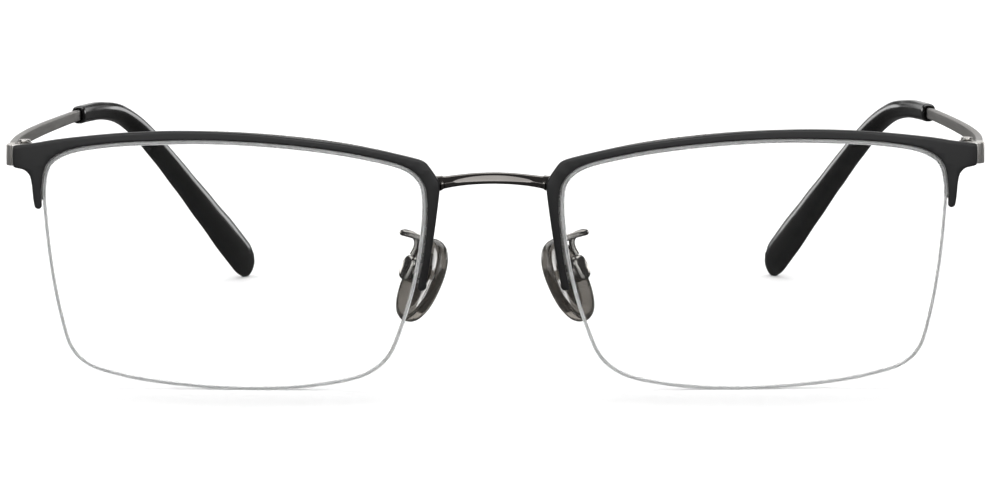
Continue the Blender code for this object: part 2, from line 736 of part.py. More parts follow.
def pad_stem(grow, name):
    """The tab from the plate to the screw."""
    top = PAD_BOX - PAD_FACING * (0.55 * MM + grow)
    foot = PAD_CENTRE + PAD_UP * PAD_DROP
    middle = (top + foot) / 2
    half = (foot - top).length / 2
    return turned_block(
        middle, (PAD_UP, PAD_BACKWARD, PAD_FACING),
        (STEM_HALF_WIDTH + grow, STEM_HALF_THICKNESS + grow, half), name,
    )


def pad_core():
    plate = loft(core_rings(0.0), "plate")
    whole = combined("pad_core", plate, [pad_stem(0.0, "stem")], "UNION")
    hole = drum(PAD_BOX, PAD_BACKWARD, PAD_SCREW_BORE, 3 * MM, "stem_hole", 16)
    return combined("pad_core", whole, [hole], "DIFFERENCE")


def nose_pad():
    """A soft oval, nearly flat where the box is and domed towards the nose."""
    rings = []
    layers = [(-1.0, 0.72), (-0.86, 0.9), (-0.5, 0.99), (0.0, 1.0), (0.45, 0.93), (0.8, 0.74),
              (1.0, 0.42)]
    for depth, size in layers:
        rings.append(oval(
            PAD_CENTRE + PAD_FACING * PAD_HALF_THICKNESS * depth, PAD_UP, PAD_BACKWARD,
            PAD_HALF_LENGTH * size, PAD_HALF_WIDTH * size, 22, 2.3,
        ))
    body = loft(rings, "pad_body")
    gap = 0.08 * MM
    cavity = loft(core_rings(gap), "cavity")
    hollow = combined("cavity", cavity, [pad_stem(gap, "stem_way")], "UNION")
    return combined("nose_pad", body, [hollow], "DIFFERENCE")


# ---------------------------------------------------------------- assembly

def build():
    stand = new_empty("glasses", (0, -DEPTH_CENTRE, 0))
    front = new_empty("front_tilt", (0, 0, FRONT_HEIGHT), stand, TILT)

    in_front = [
        ("brow_bar", brow(), "black_enamel"), ("eyewire", eyewire(), "gunmetal"),
        ("rim_liner", rim_liner(), "nylon"), ("lens", lens(), "lens"),
        ("nylon_cord", nylon_cord(), "nylon"),
    ]
    on_stand = [
        ("endpiece", endpiece(), "gunmetal"),
        ("hinge_front_leaf", hinge_front_leaf(), "gunmetal"),
        ("hinge_screw", hinge_screw(), "steel"),
        ("hinge_washer_upper", hinge_washer(1), "nylon"),
        ("hinge_washer_lower", hinge_washer(-1), "nylon"),
        ("pad_arm", pad_arm(), "gunmetal"), ("pad_box", pad_box(), "gunmetal"),
        ("pad_screw", pad_screw(), "steel"),
    ]
    on_hinge = [
        ("temple", temple(), "gunmetal"), ("temple_tip", temple_tip(), "black_acetate"),
        ("hinge_temple_leaf", hinge_temple_leaf(), "gunmetal"),
    ]
    on_pad_screw = [("nose_pad", nose_pad(), "silicone"), ("pad_core", pad_core(), "steel")]

    for name, side in SIDES.items():
        flip = Matrix.Diagonal((side, 1, 1, 1))
        hinge_axis = flip @ PIVOT
        pad_axis = flip @ PAD_BOX
        hinge = new_empty(f"temple_hinge_{name}", hinge_axis, stand)
        rocker = new_empty(f"pad_rocker_{name}", pad_axis, stand)
        groups = (
            (in_front, front, None), (on_stand, stand, None),
            (on_hinge, hinge, hinge_axis), (on_pad_screw, rocker, pad_axis),
        )
        for pieces, parent, axis in groups:
            for piece, mesh, finish in pieces:
                copy = mirrored(mesh, side)
                if axis is not None:
                    copy.transform(Matrix.Translation(-axis))
                add_object(f"{piece}_{name}", copy, PARTS, parent, finish=finish)
    add_object("bridge", bridge(), PARTS, front, finish="gunmetal")


clear_scene()
PARTS = new_collection("half_rim_eyeglasses")
WORK = new_collection("cutters", hidden=True)
build()
for helper in list(WORK.objects):
    bpy.data.objects.remove(helper, do_unlink=True)
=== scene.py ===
import json
import math

import bmesh
import bpy
from mathutils import Matrix, Vector


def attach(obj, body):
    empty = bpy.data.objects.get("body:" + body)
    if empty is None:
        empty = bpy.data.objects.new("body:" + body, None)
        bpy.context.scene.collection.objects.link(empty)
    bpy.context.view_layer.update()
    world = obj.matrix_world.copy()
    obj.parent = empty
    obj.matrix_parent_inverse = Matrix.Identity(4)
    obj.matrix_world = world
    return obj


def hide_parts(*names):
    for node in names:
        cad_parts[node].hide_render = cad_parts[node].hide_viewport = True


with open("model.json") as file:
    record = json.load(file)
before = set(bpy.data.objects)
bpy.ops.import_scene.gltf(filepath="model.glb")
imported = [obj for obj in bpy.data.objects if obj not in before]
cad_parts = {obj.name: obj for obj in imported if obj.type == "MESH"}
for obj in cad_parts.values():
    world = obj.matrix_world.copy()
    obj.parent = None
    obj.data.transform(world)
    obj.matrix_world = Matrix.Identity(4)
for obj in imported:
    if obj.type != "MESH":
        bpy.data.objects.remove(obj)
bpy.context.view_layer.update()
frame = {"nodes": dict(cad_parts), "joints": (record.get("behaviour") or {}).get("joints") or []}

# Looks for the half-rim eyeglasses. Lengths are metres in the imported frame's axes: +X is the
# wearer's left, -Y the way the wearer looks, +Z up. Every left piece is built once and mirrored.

MM = 0.001
SIDES = {"left": 1, "right": -1}
JOINTS = {joint["name"]: joint for joint in frame["joints"]}

# The front's own frame: its origin is level with the lens centres, and its top leans forward
LENS_CENTRE = 37.0 * MM
LENS_RADIUS = 120.0 * MM
FACE_FORM = math.radians(4.0)
TILT = math.radians(6.0)
FRONT_DEPTH = -68.3  # in mm, from the frame's origin to the front's datum
FRONT_ORIGIN = Vector((0, FRONT_DEPTH, 19.28)) * MM
FRONT_FRAME = Matrix.Translation(FRONT_ORIGIN) @ Matrix.Rotation(TILT, 4, "X")

# Depths behind the dished datum surface, and offsets out from the lens's edge
BROW_FRONT, BROW_BACK = -0.9 * MM, 0.0
BROW_BEVEL = 0.28 * MM
BROW_SLICE = 1.5 * MM  # size of the small faces that the bar bends at
BROW_OFFSET, TAIL_COVER = 0.35 * MM, 0.3 * MM  # the bar reaches further in along its tail
EYEWIRE_FRONT, EYEWIRE_BACK = 0.2 * MM, 2.3 * MM
EYEWIRE_INNER, EYEWIRE_OUTER = 0.15 * MM, 1.15 * MM
CHANNEL_OFFSET = 0.6 * MM
EYEWIRE_ROUNDING = 0.14 * MM
LENS_FRONT, LENS_BACK = 0.3 * MM, 2.2 * MM
LENS_BEVEL = 0.15 * MM
GROOVE_MIDDLE, GROOVE_HALF, GROOVE_OFFSET = 1.25 * MM, 0.4 * MM, -0.55 * MM
CORD_RADIUS, CORD_OFFSET = 0.28 * MM, -0.22 * MM

# The lens's edge from the front, in mm from its centre: outwards to the temple, up
LENS_EDGE = [
    (2.0, 17.0), (11.0, 16.75), (19.0, 16.0), (24.5, 14.7), (27.0, 12.9),
    (27.9, 9.6), (27.8, 5.0), (27.1, -2.6), (25.95, -9.6), (24.6, -14.3),
    (22.3, -16.6), (16.4, -18.25), (7.5, -19.25), (-2.0, -19.57), (-11.8, -18.95),
    (-18.7, -17.35), (-21.8, -14.9), (-23.9, -10.2), (-25.8, -3.9), (-26.95, 2.5),
    (-27.3, 8.4), (-26.8, 10.9), (-24.8, 12.9), (-18.5, 14.8), (-9.0, 16.3),
]
LEG_END, TAIL_START, TAIL_END = 17.98, 3.3, 5.56

# The brow bar's outer edge, from the tail round the lug and the top to the nose leg
BROW_EDGE = [
    (29.1, 7.15), (29.2, 7.7), (29.32, 8.9), (29.45, 10.3), (29.75, 11.4), (30.5, 12.08),
    (31.75, 12.32), (32.1, 12.45), (32.2, 12.75), (32.22, 15.0), (32.12, 15.35),
    (31.8, 15.5), (28.85, 16.05), (25.2, 16.8), (16.2, 18.05), (7.4, 18.6), (-1.4, 18.45),
    (-10.0, 17.65), (-18.7, 16.35), (-25.4, 14.75), (-26.9, 14.25), (-27.45, 13.9),
    (-27.85, 13.45), (-29.15, 11.5), (-29.4, 10.9), (-29.4, 10.0), (-28.85, 5.5),
    (-28.25, 1.5), (-27.4, -3.6),
]

# Temple centre line and half sizes across it, as in the frame's solids
TEMPLE_LINE = [
    (70.05, 10.95, 33.9), (71.4, 22.5, 34.05), (71.8, 34.5, 34.15), (71.5, 48.0, 34.15),
    (70.85, 61.5, 34.1), (69.9, 74.0, 34.1), (68.9, 82.5, 34.05), (67.4, 90.5, 33.75),
    (65.4, 97.5, 32.6), (62.8, 104.0, 29.5), (59.9, 110.2, 24.8), (56.8, 116.6, 19.3),
    (53.6, 123.2, 13.5), (50.5, 129.8, 7.8), (48.0, 135.2, 3.15), (47.0, 137.6, 1.15),
]
TEMPLE_SHIFT = Vector((0, FRONT_DEPTH, 0)) * MM
TEMPLE_ROUNDING = 0.2 * MM
TIP_START, TIP_BODY, CORE_END = 5.3, 5.4, 13.0
CORE_CLEARANCE = 0.1 * MM
BAR_SECTIONS = [
    (0.0, 1.45, 0.55), (0.4, 1.2, 0.52), (1.0, 1.0, 0.5), (2.0, 0.92, 0.5), (5.26, 0.86, 0.48),
    (5.29, 0.62, 0.42), (5.6, 0.6, 0.4), (CORE_END, 0.55, 0.4),
]
TIP_SECTIONS = [
    (TIP_START, 1.3, 1.05), (TIP_BODY, 1.45, 1.2), (7.0, 1.5, 1.3), (8.0, 1.6, 1.4),
    (9.0, 1.75, 1.45), (10.0, 1.95, 1.5), (11.0, 2.25, 1.5), (12.0, 2.7, 1.45),
    (13.0, 3.15, 1.4), (13.8, 3.2, 1.3), (14.4, 2.75, 1.15), (14.75, 2.1, 0.9),
    (14.9, 1.5, 0.65), (14.97, 0.95, 0.42), (15.0, 0.4, 0.2),
]
TIP_POWER, TIP_END_POWER = 2.6, 2.05  # from box-like at the mouth to oval at the end
BORE_POWER = 4.0

# Nose pads: the pivot is the pad screw's axis
PAD_PIVOT = Vector(JOINTS["nose_pad_rock_left"]["pos_m"])
PAD_SPLAY, PAD_LEAN = math.radians(35.0), math.radians(24.5)
PAD_BOX_RADIUS, PAD_BOX_HALF, PAD_BOX_FLAT = 1.9 * MM, 1.25 * MM, 1.5 * MM
PAD_HALF_LENGTH, PAD_HALF_WIDTH, PAD_HALF_THICKNESS = 6.4 * MM, 4.25 * MM, 1.25 * MM
PAD_GAP, PAD_DROP = 0.5 * MM, 1.2 * MM
PAD_SLOT_FORWARD = 0.7  # in mm, towards the pad from its pivot
PAD_SLOT_HALVES = (1.0 * MM, 0.62 * MM, 1.5 * MM)
PAD_ARM_RADIUS = 0.45 * MM
PAD_ARM_ROUTE = [
    (9.35, 3.95, 21.4), (9.9, 4.7, 21.75), (11.4, 5.6, 22.3), (12.8, 6.5, 22.6),
    (13.3, 7.5, 22.6), (12.8, 8.5, 22.5), (11.7, 9.0, 22.0), (11.3, 9.1, 21.1),
    (11.5, 9.15, 20.1), (12.0, 9.2, 19.15),
]

# Bridge, in the front's own frame: half depth and half height in its middle and at its ends
BRIDGE_HALF_SPAN = 8.42 * MM
BRIDGE_HEIGHT, BRIDGE_ARCH = 10.4 * MM, 1.35 * MM
BRIDGE_END_DEPTH, BRIDGE_MID_DEPTH = 3.4 * MM, 1.3 * MM
BRIDGE_MID_SECTION, BRIDGE_END_SECTION = (0.85 * MM, 0.76 * MM), (0.8 * MM, 1.0 * MM)
FACET_SHARE = 0.66  # of the half span that the polished facet covers
COLLAR_START, COLLAR_RAMP = 7.1 * MM, 0.25 * MM  # solder collars next to the eyewires
COLLAR_SWELL = 0.14
BRIDGE_ROUNDING = 0.14 * MM

# Endpiece seen from above, in mm, its height, and the fine line engraved round its corner
ENDPIECE_PLAN = [
    (66.3, 5.2), (69.1, 6.2), (69.95, 6.7), (70.45, 7.35), (70.6, 8.15), (70.6, 10.85),
    (69.6, 10.85), (69.6, 9.3), (69.25, 8.75), (68.5, 8.4), (66.3, 7.1),
]
ENDPIECE_HEIGHT, ENDPIECE_ROUNDING, ENDPIECE_BEVEL = 3.0 * MM, 0.3 * MM, 0.14 * MM
SEAM, SEAM_WIDTH, SEAM_DEPTH = (69.58, 6.48, 33.9), 0.18 * MM, 0.24 * MM

# Camera and floor
CAMERA_DISTANCE, CAMERA_HEIGHT = 500 * MM, 80 * MM
CAMERA_PITCH, CAMERA_YAW = math.radians(6.7), math.radians(1.2)
CAMERA_ROLL = math.radians(-0.24)
CAMERA_LENS, CAMERA_SHIFT = 127.65, (0.0053, 0.0004)
FLOOR_RADIUS = 6.0
WORLD_STRENGTH = 0.13


# ---------------------------------------------------------------- curves and rings

def spline_point(knots, place, closed=False):
    """The point at that place, counted in knots, on a centripetal Catmull-Rom spline."""
    count = len(knots)
    if closed:
        place %= count
        index = int(place)
        near = [Vector(knots[(index + step) % count]) for step in (-1, 0, 1, 2)]
    else:
        index = min(int(place), count - 2)
        before = 2 * Vector(knots[0]) - Vector(knots[1])
        after = 2 * Vector(knots[-1]) - Vector(knots[-2])
        padded = [before, *(Vector(knot) for knot in knots), after]
        near = padded[index:index + 4]
    times = [0.0]
    for one, two in zip(near, near[1:]):
        times.append(times[-1] + max((two - one).length, 1e-9) ** 0.5)
    time = times[1] + (times[2] - times[1]) * (place - index)
    level = near
    for low, high in ((0, 1), (0, 2), (1, 2)):
        level = [
            one.lerp(two, (time - times[i + low]) / (times[i + high] - times[i + low]))
            for i, (one, two) in enumerate(zip(level, level[1:]))
        ]
    return level[0]


def spread(start, end, steps):
    return [start + (end - start) * step / steps for step in range(steps + 1)]


def spline(knots, steps):
    return [spline_point(knots, place) for place in spread(0, len(knots) - 1, steps)]


def edge_station(place, offset):
    """A point of the lens's edge moved out by offset, from the lens's centre."""
    here = spline_point(LENS_EDGE, place, closed=True)
    ahead = spline_point(LENS_EDGE, place + 0.02, closed=True)
    behind = spline_point(LENS_EDGE, place - 0.02, closed=True)
    along = (ahead - behind).normalized()
    return here * MM + Vector((-along.y, along.x)) * offset


def dish(across, up):
    """How far the datum surface lies behind its foremost plane."""
    bulge = LENS_RADIUS - math.sqrt(LENS_RADIUS**2 - across**2 - up**2)
    return across * math.tan(FACE_FORM) + bulge


def on_front(across, up, depth):
    return Vector((LENS_CENTRE + across, dish(across, up) + depth, up))


def rounded(corners, radius, steps=3):
    """A closed outline with each corner replaced by a short curve."""
    outline = []
    count = len(corners)
    for i, corner in enumerate(corners):
        corner = Vector(corner)
        ends = []
        for other in (corners[i - 1], corners[(i + 1) % count]):
            side = Vector(other) - corner
            ends.append(corner + side.normalized() * min(radius, side.length * 0.45))
        for step in range(steps + 1):
            share = step / steps
            into = ends[0].lerp(corner, share)
            out = corner.lerp(ends[1], share)
            outline.append(into.lerp(out, share))
    return outline


def rounded_end(start, end, away, steps=12):
    """The points of a half circle from start to end, on the side that away points to."""
    middle, half = (start + end) / 2, (start - end) / 2
    out = away - half * (away.dot(half) / half.length_squared)
    out = out.normalized() * half.length
    turns = [math.pi * step / steps for step in range(1, steps)]
    return [middle + half * math.cos(turn) + out * math.sin(turn) for turn in turns]


def oval(centre, axis_one, axis_two, half_one, half_two, count, power=2.0):
    """A ring of points on an ellipse, or on a rounder box where power is over 2."""
    ring = []
    for step in range(count):
        turn = 2 * math.pi * (step + 0.5) / count
        c, s = math.cos(turn), math.sin(turn)
        one = math.copysign(abs(c) ** (2 / power), c) * half_one
        two = math.copysign(abs(s) ** (2 / power), s) * half_two
        ring.append(centre + axis_one * one + axis_two * two)
    return ring


# ---------------------------------------------------------------- meshes

def mesh_from(bm, name):
    bmesh.ops.remove_doubles(bm, verts=bm.verts, dist=1e-7)
    bmesh.ops.recalc_face_normals(bm, faces=bm.faces)
    mesh = bpy.data.meshes.new(name)
    bm.to_mesh(mesh)
    bm.free()
    return mesh


def loft(rings, name, closed=False):
    """A closed mesh through rings of equally many points; a closed loft has no end faces."""
    bm = bmesh.new()
    loops = [[bm.verts.new(point) for point in ring] for ring in rings]
    pairs = list(zip(loops, loops[1:]))
    if closed:
        pairs.append((loops[-1], loops[0]))
    else:
        bm.faces.new(loops[0])
        bm.faces.new(loops[-1])
    for one, two in pairs:
        for i in range(len(one)):
            j = (i + 1) % len(one)
            bm.faces.new((one[i], one[j], two[j], two[i]))
    return mesh_from(bm, name)


def evaluated(obj, name):
    """The object's mesh with its modifiers applied; the object is removed."""
    bpy.context.view_layer.update()
    graph = bpy.context.evaluated_depsgraph_get()
    mesh = bpy.data.meshes.new_from_object(obj.evaluated_get(graph))
    bpy.data.objects.remove(obj)
    bm = bmesh.new()
    bm.from_mesh(mesh)
    bpy.data.meshes.remove(mesh)
    bmesh.ops.remove_doubles(bm, verts=bm.verts, dist=1e-6)
    return mesh_from(bm, name)


def helper(data, name):
    obj = bpy.data.objects.new(name, data)
    bpy.context.scene.collection.objects.link(obj)
    return obj


def tube(points, radius, name, resolution=5):
    curve = bpy.data.curves.new(name, "CURVE")
    curve.dimensions = "3D"
    curve.bevel_depth = radius
    curve.bevel_resolution = resolution
    curve.use_fill_caps = True
    line = curve.splines.new("POLY")
    line.points.add(len(points) - 1)
    for point, place in zip(line.points, points):
        point.co = (*place, 1)
    return evaluated(helper(curve, name), name)


def bevelled_plate(outline, thickness, bevel, name):
    """A flat outline, filled, thickened both ways along Z and rounded along its edges."""
    curve = bpy.data.curves.new(name, "CURVE")
    curve.dimensions = "2D"
    curve.fill_mode = "BOTH"
    curve.extrude = thickness / 2 - bevel
    curve.bevel_depth = bevel
    curve.bevel_resolution = 2
    curve.offset = -bevel
    line = curve.splines.new("POLY")
    line.points.add(len(outline) - 1)
    for point, (x, y) in zip(line.points, outline):
        point.co = (x, y, 0, 1)
    line.use_cyclic_u = True
    return evaluated(helper(curve, name), name)


def sliced(mesh, spacing):
    """Cut a flat plate into small faces all over, so that it bends evenly."""
    bm = bmesh.new()
    bm.from_mesh(mesh)
    bmesh.ops.dissolve_limit(
        bm, angle_limit=math.radians(0.01), verts=bm.verts, edges=bm.edges
    )
    for axis in (0, 1):
        places = [vert.co[axis] for vert in bm.verts]
        normal = Vector((1 - axis, axis, 0))
        for step in range(1, math.ceil((max(places) - min(places)) / spacing)):
            bmesh.ops.bisect_plane(
                bm, geom=bm.verts[:] + bm.edges[:] + bm.faces[:], dist=1e-7,
                plane_co=normal * (min(places) + step * spacing), plane_no=normal,
            )
    bm.to_mesh(mesh)
    bm.free()


def combined(first, second, operation, name):
    base, other = helper(first, "base"), helper(second, "other")
    modifier = base.modifiers.new(operation, "BOOLEAN")
    modifier.operation = operation
    modifier.object = other
    modifier.solver = "EXACT"
    mesh = evaluated(base, name)
    bpy.data.objects.remove(other)
    return mesh


def refined(node, bevel, segments=3):
    """A copy of a frame solid with its flat facets joined and its edges rounded."""
    bm = bmesh.new()
    bm.from_mesh(frame["nodes"][node].data)
    bmesh.ops.remove_doubles(bm, verts=bm.verts, dist=1e-6)
    bmesh.ops.dissolve_limit(
        bm, angle_limit=math.radians(1), verts=bm.verts, edges=bm.edges
    )
    obj = helper(mesh_from(bm, node), node + "_copy")
    modifier = obj.modifiers.new("edges", "BEVEL")
    modifier.width = bevel
    modifier.segments = segments
    modifier.limit_method = "ANGLE"
    modifier.angle_limit = math.radians(30)
    modifier.use_clamp_overlap = True
    return evaluated(obj, node)


def turned_block(centre, axes, halves, name):
    bm = bmesh.new()
    turn = Matrix(axes).transposed().to_4x4()
    size = Matrix.Diagonal((*(half * 2 for half in halves), 1))
    bmesh.ops.create_cube(bm, size=1.0, matrix=Matrix.Translation(centre) @ turn @ size)
    return mesh_from(bm, name)


# ---------------------------------------------------------------- materials

def add_node(material, kind, settings=(), inputs=()):
    node = material.node_tree.nodes.new(kind)
    for name, value in settings:
        setattr(node, name, value)
    for name, value in inputs:
        node.inputs[name].default_value = value
    return node


def noise(material, scale, detail=4.0, roughness=0.6):
    """A noise texture on the object's own coordinates, with scale per axis in 1/m."""
    tree = material.node_tree
    place = add_node(material, "ShaderNodeTexCoord")
    stretch = add_node(material, "ShaderNodeMapping", inputs=[("Scale", scale)])
    texture = add_node(
        material, "ShaderNodeTexNoise",
        inputs=[("Scale", 1.0), ("Detail", detail), ("Roughness", roughness)],
    )
    tree.links.new(place.outputs["Object"], stretch.inputs["Vector"])
    tree.links.new(stretch.outputs["Vector"], texture.inputs["Vector"])
    return texture


def surface(name, sockets, tints, tint_scale, rough, rough_scale, bumps=()):
    """A Principled material: two tints mixed by one noise, roughness ranged by another,
    and bumps listed as (scale, height in metres, strength)."""
    material = bpy.data.materials.new(name)
    material.use_nodes = True
    tree = material.node_tree
    shader = tree.nodes["Principled BSDF"]
    for socket, value in sockets:
        shader.inputs[socket].default_value = value

    blotches = noise(material, tint_scale)
    ramp = add_node(material, "ShaderNodeValToRGB")
    ramp.color_ramp.elements[0].position = 0.3
    ramp.color_ramp.elements[1].position = 0.7
    ramp.color_ramp.elements[0].color = (*tints[0], 1)
    ramp.color_ramp.elements[1].color = (*tints[1], 1)
    tree.links.new(blotches.outputs["Fac"], ramp.inputs["Fac"])
    tree.links.new(ramp.outputs["Color"], shader.inputs["Base Color"])

    wear = noise(material, rough_scale, detail=6.0)
    limits = add_node(
        material, "ShaderNodeMapRange",
        inputs=[("From Min", 0.3), ("From Max", 0.7), ("To Min", rough[0]), ("To Max", rough[1])],
    )
    tree.links.new(wear.outputs["Fac"], limits.inputs["Value"])
    tree.links.new(limits.outputs["Result"], shader.inputs["Roughness"])

    normal = None
    for scale, height, strength in bumps:
        relief = noise(material, scale, detail=3.0)
        bump = add_node(
            material, "ShaderNodeBump", inputs=[("Strength", strength), ("Distance", height)]
        )
        tree.links.new(relief.outputs["Fac"], bump.inputs["Height"])
        if normal:
            tree.links.new(normal, bump.inputs["Normal"])
        normal = bump.outputs["Normal"]
    if normal:
        tree.links.new(normal, shader.inputs["Normal"])
    return material


def even(value):
    return (value, value, value)


METAL = [("Metallic", 1.0), ("Specular Tint", (1.0, 0.98, 0.95, 1.0))]
MATERIALS = {
    "enamel": surface(
        "black_satin_enamel", [("Specular IOR Level", 0.35)],
        ((0.004, 0.004, 0.0044), (0.006, 0.006, 0.0064)), even(90),
        (0.36, 0.46), even(700), [(even(4500), 3e-6, 0.2)],
    ),
    "eyewire": surface(
        "brushed_eyewire", METAL, ((0.27, 0.267, 0.26), (0.36, 0.356, 0.347)), even(300),
        (0.24, 0.32), even(900), [(even(3000), 1.5e-6, 0.15)],
    ),
    "bridge": surface(
        "polished_gunmetal", METAL, ((0.12, 0.113, 0.107), (0.17, 0.161, 0.153)),
        (60, 400, 400), (0.1, 0.18), (150, 1500, 1500), [((300, 4000, 4000), 1e-6, 0.15)],
    ),
    "gunmetal": surface(
        "gunmetal", METAL, ((0.15, 0.145, 0.138), (0.22, 0.213, 0.203)), even(350),
        (0.1, 0.18), even(1500), [(even(4000), 1.5e-6, 0.15)],
    ),
    "silver": surface(
        "bright_endpiece", METAL, ((0.7, 0.688, 0.665), (0.82, 0.806, 0.785)),
        (500, 500, 120), (0.24, 0.38), (3000, 3000, 200), [((9000, 9000, 400), 2e-6, 0.2)],
    ),
    "temple": surface(
        "brushed_temple", METAL, ((0.24, 0.235, 0.23), (0.33, 0.325, 0.32)),
        (600, 25, 600), (0.3, 0.42), (2500, 60, 2500), [((6000, 120, 6000), 2e-6, 0.2)],
    ),
    "screw": surface(
        "screw_steel", METAL, ((0.4, 0.39, 0.37), (0.52, 0.51, 0.5)), even(900),
        (0.15, 0.28), even(4000), [(even(9000), 2e-6, 0.2)],
    ),
    "acetate": surface(
        "black_acetate", [("Specular IOR Level", 0.3)],
        ((0.002, 0.002, 0.002), (0.0035, 0.0034, 0.0032)), even(60),
        (0.12, 0.2), even(260), [(even(900), 5e-6, 0.1)],
    ),
    "lens": surface(
        "clear_lens",
        [("Transmission Weight", 1.0), ("IOR", 1.5), ("Specular Tint", (0.08, 0.08, 0.08, 1.0))],
        ((0.992, 0.994, 0.994), (1.0, 1.0, 1.0)), even(40), (0.0, 0.01), even(120),
    ),
    "lens_edge": surface(
        "ground_lens_edge", [("Transmission Weight", 0.75), ("IOR", 1.5)],
        ((0.88, 0.885, 0.885), (0.95, 0.955, 0.955)), even(500), (0.35, 0.5), even(3000),
        [(even(6000), 5e-6, 0.3)],
    ),
    "nylon": surface(
        "clear_nylon", [("Transmission Weight", 0.5), ("IOR", 1.53)],
        ((0.42, 0.423, 0.42), (0.54, 0.542, 0.538)), even(200), (0.18, 0.3), even(2500),
        [(even(5000), 3e-6, 0.25)],
    ),
    "silicone": surface(
        "smoky_silicone", [("Transmission Weight", 0.88), ("IOR", 1.41)],
        ((0.11, 0.1, 0.088), (0.17, 0.158, 0.143)), even(150), (0.05, 0.13), even(800),
        [(even(2500), 4e-6, 0.25)],
    ),
    "core": surface(
        "pad_core_metal", METAL, ((0.3, 0.27, 0.24), (0.42, 0.385, 0.35)), even(300),
        (0.25, 0.4), even(1500), [(even(5000), 3e-6, 0.25)],
    ),
}


# ---------------------------------------------------------------- pieces of the front

def band(places, section, name, closed=False):
    """A rail that follows the lens's edge; section lists its (offset, depth) points."""
    rings = [
        [on_front(*edge_station(place, offset), depth) for offset, depth in section]
        for place in places
    ]
    return loft(rings, name, closed)


def brow_offset(place):
    """The brow bar's inner edge out from the lens's edge: less along the temple tail."""
    tail = (place - len(LENS_EDGE) - TAIL_START) / 1.5
    return BROW_OFFSET - TAIL_COVER * min(max(tail, 0), 1)


def brow_bar():
    rim_end = len(LENS_EDGE) + TAIL_END
    inner = [edge_station(place, brow_offset(place)) for place in spread(LEG_END, rim_end, 300)]
    outer = [point * MM for point in spline(BROW_EDGE, 450)]
    down = Vector((0.15, -1.0))
    outline = inner + rounded_end(inner[-1], outer[0], Vector((0, -1)))
    outline += outer + rounded_end(outer[-1], inner[0], down)
    mesh = bevelled_plate(outline, BROW_BACK - BROW_FRONT, BROW_BEVEL, "brow_bar")
    sliced(mesh, BROW_SLICE)
    middle = (BROW_FRONT + BROW_BACK) / 2
    for vertex in mesh.vertices:
        vertex.co = on_front(vertex.co.x, vertex.co.y, middle - vertex.co.z)
    return mesh


def eyewire():
    low, high = GROOVE_MIDDLE - GROOVE_HALF, GROOVE_MIDDLE + GROOVE_HALF
    section = rounded([
        (EYEWIRE_INNER, EYEWIRE_FRONT), (EYEWIRE_OUTER, EYEWIRE_FRONT),
        (EYEWIRE_OUTER, EYEWIRE_BACK), (EYEWIRE_INNER, EYEWIRE_BACK),
        (EYEWIRE_INNER, high), (CHANNEL_OFFSET, high),
        (CHANNEL_OFFSET, low), (EYEWIRE_INNER, low),
    ], EYEWIRE_ROUNDING)
    rim_end = len(LENS_EDGE) + TAIL_END
    return band(spread(LEG_END + 0.08, rim_end - 0.08, 220), section, "eyewire")


def lens():
    """Polished faces, a bevelled ground edge, and a groove all round it."""
    places = spread(0, len(LENS_EDGE), 200)[:-1]
    centre = Vector((0, -1)) * MM
    shares = spread(0.04, 0.96, 23)
    groove = []
    for step in range(9):
        turn = math.pi * step / 8
        groove.append((
            GROOVE_OFFSET * math.sin(turn), GROOVE_MIDDLE - GROOVE_HALF * math.cos(turn)
        ))
    edge = [(-LENS_BEVEL, LENS_FRONT), (0.0, LENS_FRONT + LENS_BEVEL)] + groove
    edge += [(0.0, LENS_BACK - LENS_BEVEL), (-LENS_BEVEL, LENS_BACK)]

    def face_ring(share, depth):
        flat = [centre + (edge_station(place, 0.0) - centre) * share for place in places]
        return [on_front(*point, depth) for point in flat]

    rings = [face_ring(share, LENS_FRONT) for share in shares]
    rings += [
        [on_front(*edge_station(place, offset), depth) for place in places]
        for offset, depth in edge
    ]
    rings += [face_ring(share, LENS_BACK) for share in reversed(shares)]
    mesh = loft(rings, "lens")
    first = 2 + len(shares) * len(places)  # the two end caps and the front face come first
    for face in mesh.polygons[first:first + (len(edge) - 1) * len(places)]:
        face.material_index = 1
    bm = bmesh.new()
    bm.from_mesh(mesh)
    ends = [face for face in bm.faces if len(face.verts) > 4]
    bmesh.ops.poke(bm, faces=ends)
    bm.to_mesh(mesh)
    bm.free()
    return mesh


def nylon_cord():
    places = spread(TAIL_END - 0.2, LEG_END + 0.2, 240)
    points = [on_front(*edge_station(place, CORD_OFFSET), GROOVE_MIDDLE) for place in places]
    return tube(points, CORD_RADIUS, "nylon_cord", 4)


def bridge():
    """An arched bar with a polished facet along its upper front, pointed at both ends."""
    rings = []
    for share in spread(-1, 1, 160):
        fall = share * share
        middle = Vector((
            share * BRIDGE_HALF_SPAN,
            BRIDGE_MID_DEPTH + (BRIDGE_END_DEPTH - BRIDGE_MID_DEPTH) * fall,
            BRIDGE_HEIGHT + BRIDGE_ARCH * (1 - fall),
        ))
        reach = abs(share) * BRIDGE_HALF_SPAN
        collar = min(max((reach - COLLAR_START) / COLLAR_RAMP, 0), 1)
        swell = 1 + COLLAR_SWELL * collar * collar * (3 - 2 * collar)
        deep, high = (
            (mid + (end - mid) * fall**3) * swell
            for mid, end in zip(BRIDGE_MID_SECTION, BRIDGE_END_SECTION)
        )
        facet = max(1 - (share / FACET_SHARE) ** 2, 0) ** 0.5
        corners = [
            (-deep, high * (-0.1 - 0.35 * facet)), (-deep * 0.6, -high), (deep * 0.6, -high),
            (deep, -high * 0.5), (deep, high * 0.5), (deep * 0.6, high), (-deep * 0.1, high),
            (-deep * (0.95 - 0.45 * facet), high * (0.1 + 0.5 * facet)),
        ]
        rings.append([
            middle + Vector((0, y, z)) for y, z in rounded(corners, BRIDGE_ROUNDING)
        ])
    return loft(rings, "bridge")


# ---------------------------------------------------------------- endpiece and temple

